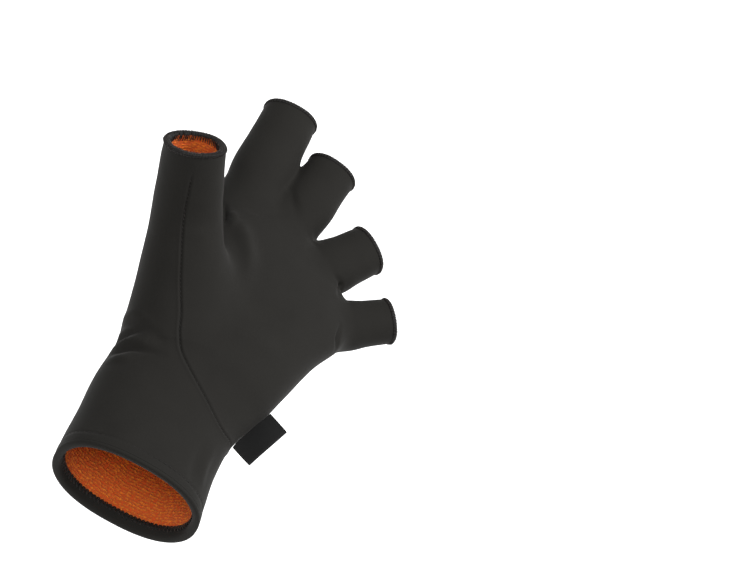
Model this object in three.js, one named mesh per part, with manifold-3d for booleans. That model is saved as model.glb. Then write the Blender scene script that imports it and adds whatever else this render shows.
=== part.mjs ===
// Fingerless fishing glove of black stretch jersey with an orange knitted lining, in the
// open form that it keeps when worn. Millimetres. The origin is the centre of the cuff
// opening, +Y runs from the cuff to the fingers, +Z is the palm side, the thumb is at -X.

import * as THREE from 'three';
import { mergeVertices } from 'three/addons/utils/BufferGeometryUtils.js';
import Module from 'manifold-3d';

const wasm = await Module();
wasm.setup();

// Driving sizes of the worn form
const cuffLength = 59.5; // cuff edge to wrist crease
const cuffWidth = 73; // across the cuff opening
const cuffSlant = 2.2; // how much longer the cuff is on the back of the hand
const cuffDepth = 61; // palm side to back of the cuff opening
const palmLength = 92; // wrist crease to the middle of the knuckles
const palmWidth = 90; // across the knuckles
const palmDepth = 46; // through the heel of the hand
const thumbLength = 84; // thumb rim to the root inside the palm
const thumbWidth = 28;
const thumbDepth = 27;
const thumbRise = 62; // thumb rim above the middle of the palm
const thumbRimDrop = 2.4; // how much lower the thumb's rim is on the finger side
const thumbRimLip = 2.8; // how much higher it is on the palm side
const indexLength = 37; // finger rims to the webs
const middleLength = 28;
const ringLength = 24;
const littleLength = 24.5;
const indexWidth = 25.4;
const middleWidth = 23.6;
const ringWidth = 23;
const littleWidth = 20.6;
const fingerDepth = 0.86; // share of a finger's width
const fingerDroop = 4; // degrees that the fingers lean toward the back of the hand

// Cloth and trim
const shellWall = 1.2;
const liningWall = 0.9;
const layerGap = 0.35; // between cloth layers and pieces
const beadHeight = 2.6; // overlocked edge of a stall, along the stall
const beadProud = 0.5; // how far that edge stands outside the shell
const rollHeight = 2.2; // rolled cuff edge, along the cuff
const bandWidth = 7; // black band inside the cuff
const bandWall = 1.1;
const tagReach = 11.4; // folded tag, out from the shell
const tagThickness = 1.3;
const tagLean = 22; // degrees that the tag leans toward the cuff

// Facets
const handSides = 26;
const thumbSides = 16;
const fingerSides = 14;
const handRoundness = 2.3; // power of the section, 2 is an ellipse
const stallRoundness = 2.15;

// Cuff sections. at: share of cuffLength. thumb, little: its two edges, shares of
// cuffWidth. depth: share of cuffDepth.
const cuffSections = [
  { at: 0, thumb: -0.5, little: 0.5, depth: 1 },
  { at: 0.2, thumb: -0.502, little: 0.472, depth: 0.93 },
  { at: 0.46, thumb: -0.506, little: 0.442, depth: 0.84 },
  { at: 0.78, thumb: -0.51, little: 0.444, depth: 0.77 },
];

// Hand sections. thumbOut, littleOut: their two edges, shares of palmWidth. thumbAt,
// littleAt: how far those lie past the wrist crease, shares of palmLength. depth, lift:
// thickness and middle height, shares of palmDepth.
const handSections = [
  { thumbOut: -0.396, thumbAt: 0.06, littleOut: 0.402, littleAt: 0.0, depth: 1.0, lift: 0.0 },
  { thumbOut: -0.4, thumbAt: 0.24, littleOut: 0.45, littleAt: 0.13, depth: 1.0, lift: 0.02 },
  { thumbOut: -0.4, thumbAt: 0.46, littleOut: 0.487, littleAt: 0.275, depth: 0.97, lift: 0.0 },
  { thumbOut: -0.378, thumbAt: 0.7, littleOut: 0.54, littleAt: 0.5, depth: 0.88, lift: -0.07 },
  { thumbOut: -0.345, thumbAt: 0.95, littleOut: 0.607, littleAt: 0.68, depth: 0.77, lift: -0.18 },
  { thumbOut: -0.318, thumbAt: 1.19, littleOut: 0.62, littleAt: 0.81, depth: 0.63, lift: -0.28 },
  { thumbOut: -0.25, thumbAt: 1.33, littleOut: 0.55, littleAt: 0.93, depth: 0.47, lift: -0.33 },
  { thumbOut: -0.15, thumbAt: 1.39, littleOut: 0.46, littleAt: 1.0, depth: 0.3, lift: -0.35 },
];

// Thumb sections from the rim to the root. out: share of palmWidth. at: past the wrist
// crease, share of palmLength. rise: share of thumbRise. width, depth: shares of the
// thumb's own sizes at its rim. thumbLength then stretches the whole from its root.
const thumbSections = [
  { out: -0.521, at: 0.879, rise: 1, width: 1, depth: 1 },
  { out: -0.421, at: 0.733, rise: 0.62, width: 1.13, depth: 1.1 },
  { out: -0.36, at: 0.64, rise: 0.455, width: 1.21, depth: 1.18 },
  { out: -0.278, at: 0.497, rise: 0.275, width: 1.38, depth: 1.3 },
  { out: -0.18, at: 0.3, rise: 0.11, width: 1.28, depth: 1.15 },
];

// Fingers. out, at: the middle of the stall at its webs, as for the hand. heading:
// degrees from +Y toward the little finger. flare: width at the webs over the rim's.
const fingers = [
  { name: 'index', length: indexLength, width: indexWidth,
    out: -0.158, at: 1.367, heading: -0.5, flare: 1.13 },
  { name: 'middle', length: middleLength, width: middleWidth,
    out: 0.118, at: 1.3, heading: 7, flare: 1.08 },
  { name: 'ring', length: ringLength, width: ringWidth,
    out: 0.361, at: 1.085, heading: 32.4, flare: 1.13 },
  { name: 'little', length: littleLength, width: littleWidth,
    out: 0.556, at: 0.835, heading: 50, flare: 1.14 },
];
const fingerRootDepth = 0.24; // how far a stall runs on inside the palm, share of palmLength
const fingerLift = -0.33; // height of the stalls at the webs, share of palmDepth

// The seam between the two shell panels, seen from the palm side: down the thumb, then
// across the heel of the hand to the little-finger side. out: share of palmWidth. at:
// past the wrist crease, share of palmLength.
const panelSeam = [
  { out: -0.7, at: 1.15 },
  { out: -0.55, at: 0.886 },
  { out: -0.451, at: 0.692 },
  { out: -0.387, at: 0.571 },
  { out: -0.268, at: 0.371 },
  { out: -0.19, at: 0.245 },
  { out: -0.137, at: 0.13 },
  { out: -0.06, at: 0.037 },
  { out: 0.097, at: -0.075 },
  { out: 0.27, at: -0.171 },
  { out: 0.4, at: -0.15 },
  { out: 0.7, at: -0.1 },
];
const seamSteps = 13;

// Side tag. from, to: its two ends on the cuff and hand sections, as places along them.
const tagFrom = 3.05;
const tagTo = 4.95;

// A section is a centre with a half-width vector and a half-depth vector.
function section(centre, wide, deep) {
  return { centre, wide, deep };
}

function handRows() {
  const rows = [];
  for (const row of cuffSections) {
    const y = row.at * cuffLength;
    const thumbEdge = new THREE.Vector3(row.thumb * cuffWidth, y, 0);
    const littleEdge = new THREE.Vector3(row.little * cuffWidth, y, 0);
    const cut = acrossHand(thumbEdge, littleEdge, row.depth * cuffDepth);
    cut.deep.y = (cuffSlant / 2) * (1 - row.at) ** 2;
    rows.push(cut);
  }
  for (const row of handSections) {
    const lift = row.lift * palmDepth;
    const thumbY = cuffLength + row.thumbAt * palmLength;
    const littleY = cuffLength + row.littleAt * palmLength;
    const thumbEdge = new THREE.Vector3(row.thumbOut * palmWidth, thumbY, lift);
    const littleEdge = new THREE.Vector3(row.littleOut * palmWidth, littleY, lift);
    rows.push(acrossHand(thumbEdge, littleEdge, row.depth * palmDepth));
  }
  return rows;
}

function acrossHand(thumbEdge, littleEdge, depth) {
  const centre = thumbEdge.clone().add(littleEdge).multiplyScalar(0.5);
  const wide = littleEdge.clone().sub(thumbEdge).multiplyScalar(0.5);
  return section(centre, wide, new THREE.Vector3(0, 0, depth / 2));
}

// The section square to a stall's own direction
function acrossStall(centre, direction, width, depth) {
  const wide = direction.clone().cross(new THREE.Vector3(0, 0, 1)).normalize();
  const deep = wide.clone().cross(direction).normalize();
  return section(centre, wide.multiplyScalar(width / 2), deep.multiplyScalar(depth / 2));
}

function thumbRows() {
  const rim = thumbSections[0];
  const root = thumbSections[thumbSections.length - 1];
  const place = (row) => new THREE.Vector3(
    row.out * palmWidth, cuffLength + row.at * palmLength, row.rise * thumbRise);
  const chord = place(rim).sub(place(root));
  const stretch = thumbLength / chord.length();
  const centres = thumbSections.map((row) => place(row).sub(place(root))
    .multiplyScalar(stretch).add(place(root)));
  return thumbSections.map((row, i) => {
    const before = centres[Math.max(i - 1, 0)];
    const after = centres[Math.min(i + 1, centres.length - 1)];
    const direction = before.clone().sub(after).normalize();
    const cut = acrossStall(
      centres[i], direction, row.width * thumbWidth, row.depth * thumbDepth);
    if (i === 0) {
      cut.wide.addScaledVector(direction, -thumbRimDrop / 2);
      cut.deep.addScaledVector(direction, thumbRimLip / 2);
    }
    return cut;
  });
}

function fingerRows(finger) {
  const heading = THREE.MathUtils.degToRad(finger.heading);
  const droop = THREE.MathUtils.degToRad(fingerDroop);
  const direction = new THREE.Vector3(
    Math.sin(heading) * Math.cos(droop), Math.cos(heading) * Math.cos(droop), -Math.sin(droop));
  const web = new THREE.Vector3(
    finger.out * palmWidth, cuffLength + finger.at * palmLength, fingerLift * palmDepth);
  const rootBack = fingerRootDepth * palmLength;
  const stations = [
    { from: finger.length, flare: 1 },
    { from: finger.length * 0.5, flare: 1 + (finger.flare - 1) * 0.35 },
    { from: 0, flare: finger.flare },
    { from: -rootBack, flare: finger.flare * 0.8 },
  ];
  return stations.map((station) => {
    const centre = web.clone().addScaledVector(direction, station.from);
    const width = finger.width * station.flare;
    const depth = finger.width * fingerDepth * (1 + (station.flare - 1) * 0.6);
    return acrossStall(centre, direction, width, depth);
  });
}

// A smooth curve through the rows: t counts rows, and runs straight on past both ends.
function sectionAt(rows, t) {
  const last = rows.length - 1;
  const i = Math.min(Math.max(Math.floor(t), 0), last - 1);
  const u = t - i;
  const mix = (key) => {
    const p1 = rows[i][key];
    const p2 = rows[i + 1][key];
    const p0 = i > 0 ? rows[i - 1][key] : p1.clone().multiplyScalar(2).sub(p2);
    const p3 = i + 2 <= last ? rows[i + 2][key] : p2.clone().multiplyScalar(2).sub(p1);
    if (u < 0 || u > 1) {
      const slope = u < 0 ? p2.clone().sub(p0) : p3.clone().sub(p1);
      const end = u < 0 ? p1 : p2;
      const beyond = u < 0 ? u : u - 1;
      return end.clone().addScaledVector(slope, beyond / 2);
    }
    const uu = u * u;
    const uuu = uu * u;
    return new THREE.Vector3()
      .addScaledVector(p0, (-uuu + 2 * uu - u) / 2)
      .addScaledVector(p1, (3 * uuu - 5 * uu + 2) / 2)
      .addScaledVector(p2, (-3 * uuu + 4 * uu + u) / 2)
      .addScaledVector(p3, (uuu - uu) / 2);
  };
  return section(mix('centre'), mix('wide'), mix('deep'));
}

// Place along the rows of a point that lies some millimetres in from the rim
function rimPlace(rows, along) {
  return along / rows[0].centre.distanceTo(rows[1].centre);
}

function rootPlace(rows, along) {
  const last = rows.length - 1;
  return last - along / rows[last].centre.distanceTo(rows[last - 1].centre);
}

// One point of a section, drawn in from its outside by inset
function sectionPoint(cut, angle, inset, roundness) {
  const power = 2 / roundness;
  const a = Math.cos(angle);
  const b = Math.sin(angle);
  const wide = cut.wide.length();
  const deep = cut.deep.length();
  const x = Math.sign(a) * Math.abs(a) ** power * (wide - inset) / wide;
  const z = Math.sign(b) * Math.abs(b) ** power * (deep - inset) / deep;
  return cut.centre.clone().addScaledVector(cut.wide, x).addScaledVector(cut.deep, z);
}

function signedVolume(points, faces) {
  let volume = 0;
  for (const [a, b, c] of faces) {
    volume += points[a].dot(points[b].clone().cross(points[c])) / 6;
  }
  return volume;
}

function geometryFrom(points, faces) {
  const outward = signedVolume(points, faces) > 0;
  const index = faces.flatMap(([a, b, c]) => (outward ? [a, b, c] : [a, c, b]));
  const geometry = new THREE.BufferGeometry().setFromPoints(points);
  geometry.setIndex(index);
  return geometry;
}

// Closed tube through the rings, with a flat cap at each end
function loftGeometry(rings) {
  const sides = rings[0].length;
  const points = rings.flat();
  const faces = [];
  for (let i = 0; i + 1 < rings.length; i += 1) {
    for (let j = 0; j < sides; j += 1) {
      const k = (j + 1) % sides;
      faces.push([i * sides + j, (i + 1) * sides + j, i * sides + k]);
      faces.push([i * sides + k, (i + 1) * sides + j, (i + 1) * sides + k]);
    }
  }
  for (const end of [0, rings.length - 1]) {
    const middle = new THREE.Vector3();
    rings[end].forEach((point) => middle.addScaledVector(point, 1 / sides));
    points.push(middle);
    for (let j = 0; j < sides; j += 1) {
      const face = [points.length - 1, end * sides + j, end * sides + (j + 1) % sides];
      faces.push(end === 0 ? face : [face[0], face[2], face[1]]);
    }
  }
  return geometryFrom(points, faces);
}

// Endless ring through the profiles, which stand round a rim one after another
function hoopGeometry(profiles) {
  const corners = profiles[0].length;
  const points = profiles.flat();
  const faces = [];
  profiles.forEach((profile, i) => {
    const next = (i + 1) % profiles.length;
    for (let j = 0; j < corners; j += 1) {
      const k = (j + 1) % corners;
      faces.push([i * corners + j, next * corners + j, i * corners + k]);
      faces.push([i * corners + k, next * corners + j, next * corners + k]);
    }
  });
  return geometryFrom(points, faces);
}

function solidFrom(geometry) {
  const shared = mergeVertices(geometry, 1e-4);
  return new wasm.Manifold(new wasm.Mesh({
    numProp: 3,
    vertProperties: new Float32Array(shared.attributes.position.array),
    triVerts: new Uint32Array(shared.index.array),
  }));
}

function geometryOf(solid) {
  const { vertProperties, triVerts } = solid.getMesh();
  const geometry = new THREE.BufferGeometry();
  geometry.setAttribute('position', new THREE.BufferAttribute(new Float32Array(vertProperties), 3));
  geometry.setIndex(new THREE.BufferAttribute(new Uint32Array(triVerts), 1));
  geometry.computeVertexNormals();
  return geometry;
}

function stallSolid(stall, inset, rimInset) {
  const { rows, sides, steps, roundness } = stall;
  const first = rimPlace(rows, rimInset);
  const places = [first];
  for (let i = 1; i < (rows.length - 1) * steps; i += 1) {
    places.push(i / steps);
  }
  places.push(rootPlace(rows, inset));
  const rings = places.map((place) => {
    const cut = sectionAt(rows, place);
    const ring = [];
    for (let j = 0; j < sides; j += 1) {
      ring.push(sectionPoint(cut, (2 * Math.PI * j) / sides, inset, roundness));
    }
    return ring;
  });
  return solidFrom(loftGeometry(rings));
}

// The whole glove's form, drawn in by inset, with its open ends cut at rimInsets
function gloveForm(stalls, inset, rimInsets) {
  return stalls
    .map((stall) => stallSolid(stall, inset, rimInsets(stall)))
    .reduce((whole, next) => whole.add(next));
}

// A cloth layer of the whole glove, open at the cuff and at all five stalls
function clothLayer(stalls, inset, wall) {
  const outside = gloveForm(stalls, inset, (stall) => stall.edge + layerGap);
  const inside = gloveForm(stalls, inset + wall, (stall) => -stall.edge);
  return outside.subtract(inside);
}

// Thin upright slot along the panel seam, as high as the glove on both its sides
function seamSlot() {
  const route = new THREE.SplineCurve(panelSeam.map((row) => new THREE.Vector2(
    row.out * palmWidth, cuffLength + row.at * palmLength)));
  const leftSide = [];
  const rightSide = [];
  for (let i = 0; i <= seamSteps; i += 1) {
    const point = route.getPoint(i / seamSteps);
    const along = route.getTangent(i / seamSteps);
    const across = new THREE.Vector2(-along.y, along.x).multiplyScalar(layerGap / 2);
    leftSide.push(point.clone().add(across));
    rightSide.unshift(point.clone().sub(across));
  }
  const height = 2 * (thumbRise + cuffDepth);
  const slot = new THREE.ExtrudeGeometry(
    new THREE.Shape([...leftSide, ...rightSide]), { depth: height, bevelEnabled: false });
  slot.translate(0, 0, -height / 2);
  slot.deleteAttribute('normal');
  slot.deleteAttribute('uv');
  return solidFrom(slot);
}

// The shell's two panels: the one with the fingers, then the one with the cuff
function shellPanels(stalls) {
  const reach = (panel) => panel.boundingBox().max[1];
  return clothLayer(stalls, 0, shellWall).subtract(seamSlot()).decompose()
    .sort((a, b) => reach(b) - reach(a));
}

function hoop(stall, profile) {
  const { rows, sides, roundness } = stall;
  const profiles = [];
  for (let j = 0; j < sides; j += 1) {
    const angle = (2 * Math.PI * j) / sides;
    profiles.push(profile.map(([inset, along]) => sectionPoint(
      sectionAt(rows, rimPlace(rows, along)), angle, inset, roundness)));
  }
  return hoopGeometry(profiles);
}

// Overlocked edge of a stall: a soft bead over the raw ends of both layers
function edgeBead(stall) {
  const inner = 2 * layerGap + shellWall + liningWall;
  const round = beadHeight * 0.3;
  return hoop(stall, [
    [-beadProud, beadHeight / 2], [round - beadProud, beadHeight],
    [inner - round, beadHeight], [inner, beadHeight / 2],
    [inner - round, 0], [round - beadProud, 0],
  ]);
}

// Cuff hem: a roll over the edge that goes on inside as a flat band
function cuffBand(stall) {
  const bandOuter = 2 * layerGap + shellWall + liningWall;
  const bandInner = bandOuter + bandWall;
  const round = rollHeight * 0.35;
  return hoop(stall, [
    [0, round], [0, rollHeight], [bandOuter, rollHeight], [bandOuter, bandWidth],
    [bandInner, bandWidth], [bandInner, round], [bandInner - round, 0], [round, 0],
  ]);
}

// Folded tag sewn into the side seam, between two places along the little-finger side
function sideTag(rows) {
  const edgePoint = (t) => sectionPoint(sectionAt(rows, t), 0, -layerGap, handRoundness);
  const lean = THREE.MathUtils.degToRad(tagLean);
  const reach = new THREE.Vector3(Math.cos(lean), -Math.sin(lean), 0).multiplyScalar(tagReach);
  const sewnEdge = [tagFrom, (tagFrom + tagTo) / 2, tagTo].map(edgePoint);
  const foldEdge = [sewnEdge[2], sewnEdge[0]].map((point) => point.clone().add(reach));
  const corners = [...sewnEdge, ...foldEdge];
  const outline = new THREE.Shape(corners.map((point) => new THREE.Vector2(point.x, point.y)));
  const geometry = new THREE.ExtrudeGeometry(outline, { depth: tagThickness, bevelEnabled: false });
  geometry.translate(0, 0, -tagThickness / 2);
  geometry.deleteAttribute('normal');
  geometry.deleteAttribute('uv');
  const whole = mergeVertices(geometry, 1e-4);
  whole.computeVertexNormals();
  return whole;
}

const jersey = { color: 0x2f2d2b, roughness: 0.85, metalness: 0 };
const orangeKnit = { color: 0xb2480e, roughness: 0.95, metalness: 0 };
const thread = { color: 0x1d1b1a, roughness: 0.8, metalness: 0 };
const tape = { color: 0x141414, roughness: 0.6, metalness: 0 };

const glove = new THREE.Group();

function addPiece(name, geometry, finish) {
  const mesh = new THREE.Mesh(geometry, new THREE.MeshStandardMaterial(finish));
  mesh.name = name;
  glove.add(mesh);
}

const hand = {
  rows: handRows(), sides: handSides, steps: 2, roundness: handRoundness, edge: rollHeight,
};
const thumb = {
  rows: thumbRows(), sides: thumbSides, steps: 2, roundness: stallRoundness, edge: beadHeight,
};
const fingerStalls = fingers.map((finger) => ({
  name: finger.name, rows: fingerRows(finger), sides: fingerSides, steps: 1,
  roundness: stallRoundness, edge: beadHeight,
}));
const stalls = [hand, thumb, ...fingerStalls];

const [handPanel, cuffPanel] = shellPanels(stalls);
addPiece('hand_panel', geometryOf(handPanel), jersey);
addPiece('cuff_panel', geometryOf(cuffPanel), jersey);
addPiece('lining', geometryOf(clothLayer(stalls, shellWall + layerGap, liningWall)), orangeKnit);
addPiece('cuff_hem', cuffBand(hand), jersey);
addPiece('thumb_hem', edgeBead(thumb), thread);
for (const stall of fingerStalls) {
  addPiece(`${stall.name}_hem`, edgeBead(stall), thread);
}
addPiece('side_tag', sideTag(hand.rows), tape);

export default glove;
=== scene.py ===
"""Looks of the fingerless fishing glove: two panels of stretch jersey, an orange knitted
lining, hems, overlocked rims, stitches and a blank tag. Metres, in the frame of the CAD."""

import math

import bmesh
import bpy
import numpy as np
from mathutils import Matrix, Vector, noise


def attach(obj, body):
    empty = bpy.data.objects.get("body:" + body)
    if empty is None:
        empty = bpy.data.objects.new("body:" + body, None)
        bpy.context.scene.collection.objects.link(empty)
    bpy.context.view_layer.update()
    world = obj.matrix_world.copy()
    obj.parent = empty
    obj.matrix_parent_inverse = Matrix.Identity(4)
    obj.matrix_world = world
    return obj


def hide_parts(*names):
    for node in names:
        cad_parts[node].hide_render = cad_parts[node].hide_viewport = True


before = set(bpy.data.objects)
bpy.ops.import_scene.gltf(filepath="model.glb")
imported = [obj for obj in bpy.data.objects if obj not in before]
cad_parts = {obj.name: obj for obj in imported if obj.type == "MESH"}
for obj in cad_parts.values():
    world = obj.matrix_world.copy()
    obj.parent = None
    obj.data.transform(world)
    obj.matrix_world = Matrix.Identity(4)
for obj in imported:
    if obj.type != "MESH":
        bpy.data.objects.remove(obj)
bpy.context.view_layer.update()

bl_info = {
    "name": "Fishing glove",
    "version": (1, 0, 0),
    "blender": (4, 5, 0),
    "location": "View3D > Sidebar > Glove",
    "description": "Fingerless glove of stretch jersey with an orange knitted lining",
    "category": "Object",
}

MM = 0.001
MAX_CHUNK = 20000  # points measured at a time

# Tables of the worn form, the same as the CAD's. Shares of the sizes named in GloveSizes.
# Cuff: place along cuff_length, thumb edge and little edge of cuff_width, share of cuff_depth.
CUFF_SECTIONS = [
    (0.0, -0.5, 0.5, 1.0),
    (0.2, -0.502, 0.472, 0.93),
    (0.46, -0.506, 0.442, 0.84),
    (0.78, -0.51, 0.444, 0.77),
]
# Hand: thumb edge out of palm_width and along palm_length, little edge likewise, share of
# palm_depth, lift as a share of palm_depth.
HAND_SECTIONS = [
    (-0.396, 0.06, 0.402, 0.0, 1.0, 0.0),
    (-0.4, 0.24, 0.45, 0.13, 1.0, 0.02),
    (-0.4, 0.46, 0.487, 0.275, 0.97, 0.0),
    (-0.378, 0.7, 0.54, 0.5, 0.88, -0.07),
    (-0.345, 0.95, 0.607, 0.68, 0.77, -0.18),
    (-0.318, 1.19, 0.62, 0.81, 0.63, -0.28),
    (-0.25, 1.33, 0.55, 0.93, 0.47, -0.33),
    (-0.15, 1.39, 0.46, 1.0, 0.3, -0.35),
]
# Thumb, rim to root: out, along, share of thumb_rise, width, depth.
THUMB_SECTIONS = [
    (-0.521, 0.879, 1.0, 1.0, 1.0),
    (-0.421, 0.733, 0.62, 1.13, 1.1),
    (-0.36, 0.64, 0.455, 1.21, 1.18),
    (-0.278, 0.497, 0.275, 1.38, 1.3),
    (-0.18, 0.3, 0.11, 1.28, 1.15),
]
# Fingers: name, out, along, heading in degrees, width at the webs over the rim's.
FINGERS = [
    ("index", -0.158, 1.367, -0.5, 1.13),
    ("middle", 0.118, 1.3, 7.0, 1.08),
    ("ring", 0.361, 1.085, 32.4, 1.13),
    ("little", 0.556, 0.835, 50.0, 1.14),
]
# Seam between the panels: out, along.
PANEL_SEAM = [
    (-0.7, 1.15), (-0.55, 0.886), (-0.451, 0.692), (-0.387, 0.571), (-0.268, 0.371),
    (-0.19, 0.245), (-0.137, 0.13), (-0.06, 0.037), (0.097, -0.075), (0.27, -0.171),
    (0.4, -0.15), (0.7, -0.1),
]
FINGER_ROOT = 0.24  # how far a stall runs on into the palm, of palm_length
FINGER_LIFT = -0.33  # height of the fingers' middle lines, of palm_depth
# Power of the sections' curve: 2 is an ellipse, more is squarer.
HAND_ROUNDNESS = 2.3
STALL_ROUNDNESS = 2.15
OVERRUN = 3.2 * MM  # how far a tube runs on past its rim before it is cut
RING_POINTS = 64  # points round a tube before the even mesh is made
SEAM_START = 9 * MM  # where the seam begins to show, from the thumb's rim
SEAM_FADE = 5 * MM
EDGE_CALM = 6 * MM  # no folds this near to a rim
NEAR_SEAM = 3.2 * MM  # finer mesh this near to the seam
NEAR_COVER = 2.6 * MM  # and this near to the coverstitch
SEAM_SNAP = 0.18 * MM  # mesh points this near to the seam count as on it
STRAY = 0.8 * MM  # points past a rim go if they are this far outside the real stalls
BRIDGE = 0.9 * MM  # faces go if their middle is this far outside the form
FINE_THREAD = 0.15 * MM  # radius of the thread in the coverstitch and the panel seam
TAG_ROWS = (3.05, 4.95)  # places of the tag's ends among the rows of the hand

# Height across a line of the cloth: height, place and half width in mm. The seam's places are
# counted toward the fingers, the coverstitch's away from the cuff edge.
SEAM_PROFILE = [(-0.6, 0.0, 0.5), (0.26, -1.15, 0.7), (0.1, 1.2, 0.8)]
COVER_PROFILE = [(-0.22, 0.0, 0.75), (0.12, -2.2, 1.6)]
# Slow unevenness of the cloth: height in mm, waves in a metre, shift of the pattern.
WAVES = [(0.34, 38, (0, 0, 0)), (0.16, 95, (7, 3, 1))]
# Slow waves of the lining's rows: height in mm, waves in a round.
ROW_WAVES = [(0.9, 2), (0.6, 5), (0.35, 11), (0.2, 23)]
# Looped ends of the lining: how far in they reach in mm, loops round.
SLEEVES = {"hand": (56, 230), "thumb": (24, 72), "index": (20, 60), "middle": (18, 56),
           "ring": (15, 56), "little": (15, 52)}

# The photo's camera: its right and up, and the place that it looks at, counted along them.
CAMERA_RIGHT = (0.879, 0.411, 0.2415)
CAMERA_UP = (-0.477, 0.772, 0.4205)
CAMERA_PLACE = (0.1084, 0.0903)
CAMERA_AWAY = 9.15
VIEW_WIDTH = 0.3294
FLOOR_HALF, FLOOR_LEVEL = 9.0, -1.1
# Lights: name, where from along right, up and back, strength, spread in degrees.
LIGHTS = [("front", -0.05, 0.15, 1.0, 2.6, 30), ("side", 0.9, 0.4, 0.3, 4.0, 30)]

# Folds of the worn cloth: height and half width in mm (a negative height is a crease), then
# the points of its line on the glove, in mm.
FOLDS = [
    (-2.0, 2.2, [(-36.0, 63.0, 0.0), (-34.6, 64.5, 6.7), (-31.4, 66.3, 12.4), (-27.0, 68.7, 17.0)]),
    (1.7, 3.0, [(-34.0, 60.0, 2.0), (-32.5, 61.0, 9.5), (-29.0, 63.0, 15.0), (-23.0, 64.0, 19.5)]),
    (-1.7, 2.2, [(-33.5, 55.3, 4.0), (-32.9, 56.3, 10.8), (-28.7, 58.6, 15.6), (-22.8, 59.2, 19.1),
                 (-15.0, 60.0, 21.7)]),
    (1.4, 3.0, [(-33.5, 50.5, 4.0), (-31.5, 51.5, 12.0), (-26.0, 53.5, 18.0)]),
    (-1.5, 2.4, [(-35.9, 72.4, -3.0), (-35.6, 72.0, 3.0), (-32.5, 71.3, 11.6), (-25.8, 69.9, 17.4),
                 (-18.2, 67.0, 20.7)]),
    (1.4, 3.2, [(-36.5, 77.5, 2.0), (-34.0, 76.5, 13.0), (-28.0, 74.0, 19.0)]),
    (-1.4, 1.3, [(-22.4, 156.0, -0.5), (-20.6, 152.0, 1.4), (-19.0, 148.5, 3.2), (-18.2, 143.5, 5.4)]),
    (1.4, 2.6, [(-17.6, 152.7, 2.0), (-15.6, 148.5, 4.2), (-15.4, 142.5, 7.4)]),
    (2.4, 5.0, [(-14.0, 149.5, 3.4), (-9.0, 143.5, 6.4), (-4.0, 135.5, 10.0), (-0.2, 126.5, 13.4),
                (2.4, 115.5, 16.8)]),
    (-1.0, 5.0, [(-16.0, 131.5, 10.0), (-12.0, 122.5, 13.5), (-8.0, 111.5, 17.5), (-5.0, 99.5, 20.0)]),
    (-0.8, 2.4, [(-13.8, 158.2, 0.7), (-5.0, 160.5, 0.0), (2.8, 166.7, -3.6)]),
    (-0.8, 2.4, [(1.4, 182.4, -8.3), (5.0, 176.5, -6.0), (9.4, 170.8, -4.7)]),
    (-1.4, 1.6, [(36.4, 153.2, -6.1), (41.0, 152.2, -9.6), (42.9, 144.2, -4.6)]),
    (-1.4, 1.6, [(49.7, 129.5, -0.9), (51.3, 122.5, -0.2), (52.9, 119.0, -3.8)]),
    (1.2, 3.5, [(27.0, 34.5, 18.0), (27.0, 22.4, 19.0), (29.6, 11.6, 20.0)]),
    (-1.0, 3.0, [(21.0, 30.0, 21.0), (22.0, 20.0, 23.0), (24.0, 10.0, 25.0)]),
    (0.9, 7.0, [(-22.0, 12.0, 26.0), (-8.0, 20.0, 28.0), (8.0, 27.0, 26.5)]),
    (-0.9, 5.0, [(10.0, 101.5, 21.5), (20.0, 107.5, 19.0), (31.0, 111.5, 13.0)]),
    (1.0, 6.0, [(8.0, 85.5, 22.5), (20.0, 89.5, 20.5), (31.0, 91.5, 13.0)]),
]


def linear(hex_colour):
    """An sRGB colour such as "2f2d2b" as linear red, green, blue and alpha."""
    channels = [int(hex_colour[i:i + 2], 16) / 255 for i in (0, 2, 4)]
    return (*[c / 12.92 if c <= 0.04045 else ((c + 0.055) / 1.055) ** 2.4 for c in channels], 1.0)


def millimetres(name, text, value):
    """A length property with its default in millimetres."""
    return bpy.props.FloatProperty(
        name=name, description=text, default=value * MM, min=0.0, precision=5,
        unit="LENGTH", subtype="DISTANCE")


def colour(name, text, hex_colour):
    """A colour property with its default as sRGB hex."""
    return bpy.props.FloatVectorProperty(
        name=name, description=text, default=linear(hex_colour), size=4, min=0.0, max=1.0,
        subtype="COLOR")


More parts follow.
